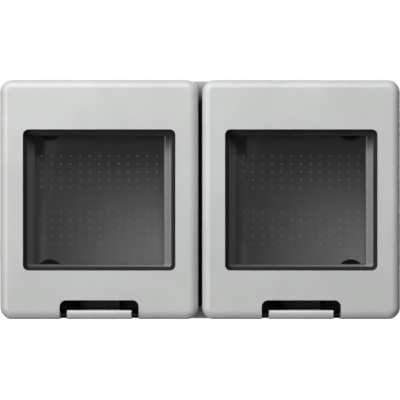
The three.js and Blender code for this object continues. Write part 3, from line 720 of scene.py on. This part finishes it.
def make_latch_lever():
    bottom, front = -HEIGHT / 2, LID_FRONT - 0.1
    arm_top, tab_top, tip_r = bottom + 2.2, bottom + 3.1, 0.8
    bottom_arc = arc(LID_FRONT - LID_EDGE_R, bottom + LID_EDGE_R, LID_EDGE_R, -90, -20, 10)
    tip_arc = arc(front - tip_r, tab_top - tip_r, tip_r, 0, 90, 8)
    profile = [
        (LATCH_DEPTH, bottom + 0.2),
        (LATCH_DEPTH + 1, bottom),
        *bottom_arc,
        *tip_arc,
        (LID_FRONT - 3.2, tab_top),
        (LID_FRONT - 3.9, arm_top),
        (LATCH_DEPTH, arm_top),
    ]
    tooth = [(50, arm_top - 0.2), (52.4, arm_top - 0.2), (51, arm_top + 1), (50, arm_top + 1)]
    spring_room = block(-3.2, 3.2, bottom - 1, arm_top + 2, 42.4, LATCH_DEPTH + 2.2)
    lever = join(
        bar(profile, -LATCH_HALF_W, LATCH_HALF_W),
        bar(tooth, -CATCH_HALF_W, CATCH_HALF_W),
        rod(-LATCH_HALF_W, LATCH_HALF_W, LATCH_DEPTH, LATCH_Z, LATCH_BARREL_R),
    )
    return cut(
        lever,
        rod(-LATCH_HALF_W - 1, LATCH_HALF_W + 1, LATCH_DEPTH, LATCH_Z, LATCH_BORE_R),
        spring_room,
    )


for label, side in SIDES:
    bay = side * BAY_X
    lid_body = f"lid_{label}"
    lid = moved(make_lid(), x=bay)
    dress(lid, f"lid_shell_{label}", lid_body, HOUSING, [f"lid_{label}"], edge=0.3, segments=3)
    # Painted shade: the catch gets the near-black frame plastic, so that it reads as the shade inside the
    # notch.
    catch = moved(make_lid_catch(), x=bay)
    dress(catch, f"lid_catch_{label}", lid_body, FRAME_AND_PAINTED_SHADE_PLASTIC)
    window = moved(make_membrane(), x=bay)
    dress(window, f"window_{label}", lid_body, RIM_RUBBER, [f"membrane_{label}"], edge=0)
    film = film_with_painted_light(f"smoked_film_painted_light_{label}", bay)
    pad_edge = wall_rubber_painted_light(f"pad_edge_{label}", bay, (0.105, 0.11, 0.105))
    tray_wall = wall_rubber_painted_light(f"tray_wall_{label}", bay, (0.23, 0.24, 0.23))
    paint_window(window, bay, film, pad_edge, tray_wall)
    dots = dot_rubber_painted_light(f"grip_dot_{label}", bay)
    dress(make_dots(side), f"window_dots_{label}", lid_body, dots, edge=0)
    lever = moved(make_latch_lever(), x=bay)
    node = f"latch_lever_{label}"
    dress(lever, f"{node}_tab", f"latch_{label}", LATCH_PLASTIC, [node], edge=0.22, segments=3)

# ------------------------------------------------------------------ rocker keys


def make_rocker_key(side):
    """The wide plate that is pressed. Depths are from its axle."""
    face, back, low = 6.6, 4.4, 1.6
    screws = [(side * SCREW_X, up * SCREW_Z) for up in (-1, 1)]
    body = slab(rounded_rect(*KEY_HALF, 0.8, steps=6), low, face)
    body = cut(body, *[disc(x, z, RELIEF_R, 0, face + 1, 64) for x, z in screws])
    hollow = slab(rounded_rect(20.9, 20.7, 0.5, steps=4), low - 1, back)
    hollow = cut(hollow, *[disc(x, z, RELIEF_R + 1.3, low - 2, back + 1, 64) for x, z in screws])
    body = cut(body, hollow)
    return join(body, *[block(-3, 3, *ordered(up * 4.9, up * 6.1), -0.5, back + 0.3) for up in (-1, 1)])


# The key's sides lean, so that its face is centred in the window while it is tilted at rest.
tilt = math.radians(ROCKER_TILT)
lean = Matrix.Identity(4)
lean[2][1] = math.tan(tilt)
for label, side in SIDES:
    key = make_rocker_key(side)
    key.data.transform(Matrix.Rotation(-tilt, 4, "X") @ lean)
    moved(key, x=side * BAY_X, y=-ROCKER_DEPTH, z=BAY_Z)
    name = f"rocker_key_{label}"
    dress(key, f"{name}_plate", f"rocker_{label}", KEY_PLASTIC, [name], edge=0.4, segments=4)

# ------------------------------------------------------------------ CAD nodes that keep their shape

KEPT = {
    "box_seal": SEAL_RUBBER_AND_PAINTED_SHADE,
    "membrane_frame": FRAME_AND_PAINTED_SHADE_PLASTIC,
    "hinge_pin": STEEL,
    "latch_pin": DARK_STEEL,
    "latch_spring": STEEL,
    "mechanism_body": MECHANISM_PLASTIC,
    "common_terminal": BRASS,
    "upper_terminal": BRASS,
    "lower_terminal": BRASS,
    "terminal_screw": STEEL,
    "rocker_carrier": CARRIER_PLASTIC,
    "plunger": STEEL,
    "plunger_spring": STEEL,
    "moving_contact": BRASS,
}
ROUND = ("spring", "pin", "plunger")

for node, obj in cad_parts.items():
    kinds = [kind for kind in KEPT if node.startswith(kind)]
    if not kinds:
        continue
    kind = max(kinds, key=len)
    obj.data.materials.clear()
    obj.data.materials.append(KEPT[kind])
    if kind.endswith(ROUND):
        for polygon in obj.data.polygons:
            polygon.use_smooth = True
        obj.data.set_sharp_from_angle(angle=math.radians(50))
        continue
    flatten = obj.modifiers.new("flatten", "DECIMATE")
    flatten.decimate_type = "DISSOLVE"
    flatten.angle_limit = math.radians(1)
    smooth(obj, edge=0.12)

# ------------------------------------------------------------------ floor, light and camera


def make_floor():
    """Pale paper. It casts no shadow, so the low light reaches the object through it."""
    half = 3000
    bm = bmesh.new()
    at = [(-half, -half), (half, -half), (half, half), (-half, half)]
    bm.faces.new([bm.verts.new((x, y, -HEIGHT / 2 - 0.05)) for x, y in at])
    floor = add_object("floor", bm)
    material, _, shader = new_material("floor_paper")
    shader.inputs["Base Color"].default_value = (0.6, 0.6, 0.6, 1)
    shader.inputs["Emission Color"].default_value = (1, 1, 1, 1)
    shader.inputs["Emission Strength"].default_value = 0.87
    shader.inputs["Roughness"].default_value = 0.9
    shader.inputs["Specular IOR Level"].default_value = 0.1
    floor.data.materials.append(material)
    floor.visible_diffuse = False
    floor.visible_glossy = False
    floor.visible_shadow = False


def make_world():
    """White where the camera sees it, and a dim even light everywhere else."""
    world = bpy.data.worlds.new("studio")
    world.use_nodes = True
    bpy.context.scene.world = world
    tree = world.node_tree
    nodes = Nodes(tree)
    soft = tree.nodes["Background"]
    soft.inputs["Color"].default_value = (0.05, 0.05, 0.05, 1)
    seen = nodes.add("ShaderNodeBackground", {"Color": (1, 1, 1, 1), "Strength": 1.0})
    ray = nodes.add("ShaderNodeLightPath").outputs["Is Camera Ray"]
    mix = nodes.add("ShaderNodeMixShader", {0: ray, 1: soft.outputs[0], 2: seen.outputs[0]})
    tree.links.new(mix.outputs[0], tree.nodes["World Output"].inputs["Surface"])


def area_light(name, place, target, size, power):
    light = bpy.data.lights.new(name, "AREA")
    light.shape = "RECTANGLE"
    light.size, light.size_y = size
    light.energy = power
    obj = bpy.data.objects.new(name, light)
    obj.location = place
    obj.rotation_euler = (Vector(target) - Vector(place)).to_track_quat("-Z", "Y").to_euler()
    obj.visible_camera = False
    bpy.context.scene.collection.objects.link(obj)


def make_camera():
    distance = 1.5
    view_width = 0.13785
    camera = bpy.data.cameras.new("camera")
    camera.sensor_width = 36
    camera.lens = camera.sensor_width * distance / view_width
    camera.clip_start = 0.05
    camera.clip_end = 20
    obj = bpy.data.objects.new("camera", camera)
    obj.location = (-0.07 * MM, -LID_FRONT * MM - distance, -0.1 * MM)
    obj.rotation_euler = (math.pi / 2, 0, 0)
    bpy.context.scene.collection.objects.link(obj)
    bpy.context.scene.camera = obj


make_floor()
make_world()
make_camera()
FRONT = (0, -0.06, 0)
area_light("top", (-0.05, -0.27, 0.27), FRONT, (0.5, 0.12), 1.25)
area_light("left", (-0.6, -0.8, 0.1), FRONT, (0.3, 0.6), 4.4)
area_light("low", (-0.05, -0.2, -0.4), FRONT, (0.5, 0.2), 0.42)
area_light("back", (0.45, 1.0, 0.25), (0, 0, 0), (0.8, 0.5), 5.2)
bpy.context.scene.view_settings.view_transform = "Standard"
